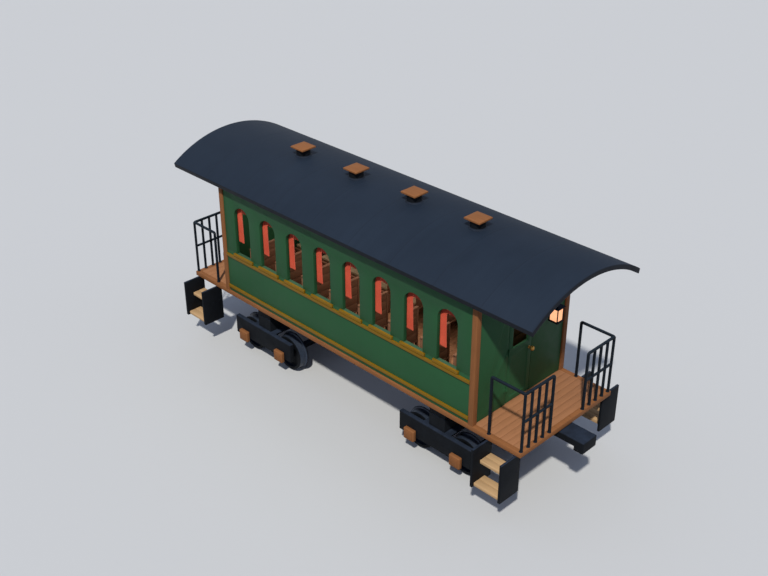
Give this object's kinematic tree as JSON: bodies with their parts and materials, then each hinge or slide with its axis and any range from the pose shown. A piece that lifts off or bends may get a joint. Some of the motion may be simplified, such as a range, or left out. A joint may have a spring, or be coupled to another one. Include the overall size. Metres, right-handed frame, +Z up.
{
  "type": "open-platform bogie passenger coach",
  "caption": "Old-style railway passenger coach with open end platforms, arched roof, side steps, hinged end doors and bogies that swivel.",
  "frame": {"origin": "on the ground under the middle of the coach, at the level of the wheel flanges' lowest points", "axes": "+X along the coach towards its front coupler, +Y to its right-hand side, +Z up"},
  "size_m": [8.88, 3, 4.14],
  "materials": {
    "brown_wood": "stained, satin",
    "green_paint": "green paint, satin",
    "roof_canvas": "boards under painted canvas, matt",
    "gold_paint": "gold paint, satin",
    "black_iron": "black paint, satin",
    "step_paint": "worn boards in black cheeks",
    "red_cloth": "woven, matt",
    "seat_leather": "worn, satin",
    "brass": "dulled",
    "lamp_glass": "frosted, amber"
  },
  "bodies": {
    "coach_body": {"deck": "brown_wood", "underframe": "black_iron", "roof": "roof_canvas", "ridge_vent_1": "black_iron", "ridge_vent_2": "black_iron", "ridge_vent_3": "black_iron", "ridge_vent_4": "black_iron", "waist_panel_left": "green_paint", "window_band_left": "green_paint", "waist_moulding_left": "gold_paint", "lower_moulding_left": "gold_paint", "curtains_left": "red_cloth", "seats_left": "seat_leather", "waist_panel_right": "green_paint", "window_band_right": "green_paint", "waist_moulding_right": "gold_paint", "lower_moulding_right": "gold_paint", "curtains_right": "red_cloth", "seats_right": "seat_leather", "coupler_front": "black_iron", "end_wall_front": "green_paint", "lantern_frame_front": "black_iron", "lantern_glass_front": "lamp_glass", "corner_post_front_left": "brown_wood", "railing_front_left": "black_iron", "step_front_left": "step_paint", "corner_post_front_right": "brown_wood", "railing_front_right": "black_iron", "step_front_right": "step_paint", "coupler_rear": "black_iron", "end_wall_rear": "green_paint", "lantern_frame_rear": "black_iron", "lantern_glass_rear": "lamp_glass", "corner_post_rear_left": "brown_wood", "railing_rear_left": "black_iron", "step_rear_left": "step_paint", "corner_post_rear_right": "brown_wood", "railing_rear_right": "black_iron", "step_rear_right": "step_paint"},
    "door_front": {"door_front": "green_paint", "door_knob_front": "brass"},
    "bogie_front": {"bogie_frame_front": "black_iron"},
    "wheelset_front_outer": {"wheelset_front_outer": "black_iron"},
    "wheelset_front_inner": {"wheelset_front_inner": "black_iron"},
    "door_rear": {"door_rear": "green_paint", "door_knob_rear": "brass"},
    "bogie_rear": {"bogie_frame_rear": "black_iron"},
    "wheelset_rear_outer": {"wheelset_rear_outer": "black_iron"},
    "wheelset_rear_inner": {"wheelset_rear_inner": "black_iron"}
  },
  "joints": [
    {"name": "door_hinge_front", "type": "hinge", "parent": "coach_body", "child": "door_front", "pos_m": [3.044, -0.339, 2.28], "axis": [0, 0, -1], "range_deg": [0, 90]},
    {"name": "bogie_swivel_front", "type": "hinge", "parent": "coach_body", "child": "bogie_front", "pos_m": [2.175, 0, 0.968], "axis": [0, 0, 1], "range_deg": [-12, 12]},
    {"name": "axle_front_outer", "type": "hinge", "parent": "bogie_front", "child": "wheelset_front_outer", "pos_m": [2.68, 0, 0.365], "axis": [0, 1, 0], "continuous": true},
    {"name": "axle_front_inner", "type": "hinge", "parent": "bogie_front", "child": "wheelset_front_inner", "pos_m": [1.67, 0, 0.365], "axis": [0, 1, 0], "continuous": true},
    {"name": "door_hinge_rear", "type": "hinge", "parent": "coach_body", "child": "door_rear", "pos_m": [-3.044, 0.339, 2.28], "axis": [0, 0, -1], "range_deg": [0, 90]},
    {"name": "bogie_swivel_rear", "type": "hinge", "parent": "coach_body", "child": "bogie_rear", "pos_m": [-2.175, 0, 0.968], "axis": [0, 0, 1], "range_deg": [-12, 12]},
    {"name": "axle_rear_outer", "type": "hinge", "parent": "bogie_rear", "child": "wheelset_rear_outer", "pos_m": [-2.68, 0, 0.365], "axis": [0, 1, 0], "continuous": true},
    {"name": "axle_rear_inner", "type": "hinge", "parent": "bogie_rear", "child": "wheelset_rear_inner", "pos_m": [-1.67, 0, 0.365], "axis": [0, 1, 0], "continuous": true}
  ]
}
